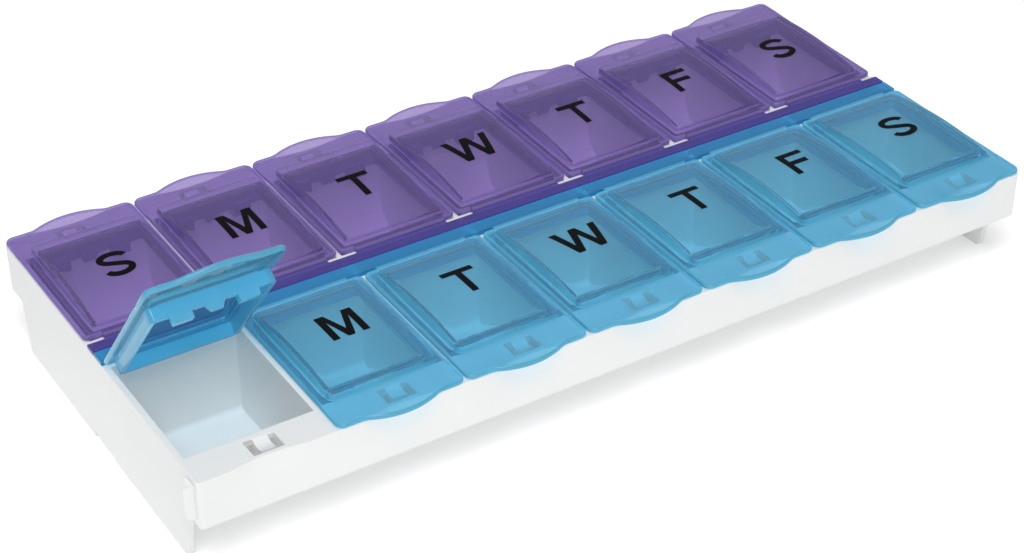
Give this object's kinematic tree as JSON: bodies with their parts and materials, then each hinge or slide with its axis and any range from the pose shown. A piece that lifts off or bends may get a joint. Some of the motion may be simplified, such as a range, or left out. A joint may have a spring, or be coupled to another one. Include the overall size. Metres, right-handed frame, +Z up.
{
  "type": "pill organizer",
  "caption": "Weekly pill organizer: a white tray with two rows of pockets, each under its own translucent hinged lid, blue in front and purple behind.",
  "frame": {"origin": "on the resting plane, under the middle of the tray", "axes": "+X along the week from Sunday to Saturday, +Y from the blue front row to the purple back row, +Z up"},
  "size_m": [0.2132, 0.103, 0.0621],
  "materials": {
    "white_tray": "satin",
    "blue_translucent": "gloss",
    "purple_translucent": "gloss"
  },
  "bodies": {
    "tray": {"tray": "white_tray", "blue_hinge_strip": "blue_translucent", "purple_hinge_strip": "purple_translucent"},
    "blue_lid_sunday": {"blue_lid_sunday": "blue_translucent"},
    "blue_lid_monday": {"blue_lid_monday": "blue_translucent"},
    "blue_lid_tuesday": {"blue_lid_tuesday": "blue_translucent"},
    "blue_lid_wednesday": {"blue_lid_wednesday": "blue_translucent"},
    "blue_lid_thursday": {"blue_lid_thursday": "blue_translucent"},
    "blue_lid_friday": {"blue_lid_friday": "blue_translucent"},
    "blue_lid_saturday": {"blue_lid_saturday": "blue_translucent"},
    "purple_lid_sunday": {"purple_lid_sunday": "purple_translucent"},
    "purple_lid_monday": {"purple_lid_monday": "purple_translucent"},
    "purple_lid_tuesday": {"purple_lid_tuesday": "purple_translucent"},
    "purple_lid_wednesday": {"purple_lid_wednesday": "purple_translucent"},
    "purple_lid_thursday": {"purple_lid_thursday": "purple_translucent"},
    "purple_lid_friday": {"purple_lid_friday": "purple_translucent"},
    "purple_lid_saturday": {"purple_lid_saturday": "purple_translucent"}
  },
  "joints": [
    {"name": "blue_lid_sunday_hinge", "type": "hinge", "parent": "tray", "child": "blue_lid_sunday", "pos_m": [-0.09, -0.00475, 0.02535], "axis": [-1, 0, 0], "range_deg": [-51, 39]},
    {"name": "blue_lid_monday_hinge", "type": "hinge", "parent": "tray", "child": "blue_lid_monday", "pos_m": [-0.06, -0.00475, 0.02535], "axis": [-1, 0, 0], "range_deg": [0, 90]},
    {"name": "blue_lid_tuesday_hinge", "type": "hinge", "parent": "tray", "child": "blue_lid_tuesday", "pos_m": [-0.03, -0.00475, 0.02535], "axis": [-1, 0, 0], "range_deg": [0, 90]},
    {"name": "blue_lid_wednesday_hinge", "type": "hinge", "parent": "tray", "child": "blue_lid_wednesday", "pos_m": [0, -0.00475, 0.02535], "axis": [-1, 0, 0], "range_deg": [0, 90]},
    {"name": "blue_lid_thursday_hinge", "type": "hinge", "parent": "tray", "child": "blue_lid_thursday", "pos_m": [0.03, -0.00475, 0.02535], "axis": [-1, 0, 0], "range_deg": [0, 90]},
    {"name": "blue_lid_friday_hinge", "type": "hinge", "parent": "tray", "child": "blue_lid_friday", "pos_m": [0.06, -0.00475, 0.02535], "axis": [-1, 0, 0], "range_deg": [0, 90]},
    {"name": "blue_lid_saturday_hinge", "type": "hinge", "parent": "tray", "child": "blue_lid_saturday", "pos_m": [0.09, -0.00475, 0.02535], "axis": [-1, 0, 0], "range_deg": [0, 90]},
    {"name": "purple_lid_sunday_hinge", "type": "hinge", "parent": "tray", "child": "purple_lid_sunday", "pos_m": [-0.09, 0.00475, 0.02535], "axis": [1, 0, 0], "range_deg": [0, 90]},
    {"name": "purple_lid_monday_hinge", "type": "hinge", "parent": "tray", "child": "purple_lid_monday", "pos_m": [-0.06, 0.00475, 0.02535], "axis": [1, 0, 0], "range_deg": [0, 90]},
    {"name": "purple_lid_tuesday_hinge", "type": "hinge", "parent": "tray", "child": "purple_lid_tuesday", "pos_m": [-0.03, 0.00475, 0.02535], "axis": [1, 0, 0], "range_deg": [0, 90]},
    {"name": "purple_lid_wednesday_hinge", "type": "hinge", "parent": "tray", "child": "purple_lid_wednesday", "pos_m": [0, 0.00475, 0.02535], "axis": [1, 0, 0], "range_deg": [0, 90]},
    {"name": "purple_lid_thursday_hinge", "type": "hinge", "parent": "tray", "child": "purple_lid_thursday", "pos_m": [0.03, 0.00475, 0.02535], "axis": [1, 0, 0], "range_deg": [0, 90]},
    {"name": "purple_lid_friday_hinge", "type": "hinge", "parent": "tray", "child": "purple_lid_friday", "pos_m": [0.06, 0.00475, 0.02535], "axis": [1, 0, 0], "range_deg": [0, 90]},
    {"name": "purple_lid_saturday_hinge", "type": "hinge", "parent": "tray", "child": "purple_lid_saturday", "pos_m": [0.09, 0.00475, 0.02535], "axis": [1, 0, 0], "range_deg": [0, 90]}
  ]
}
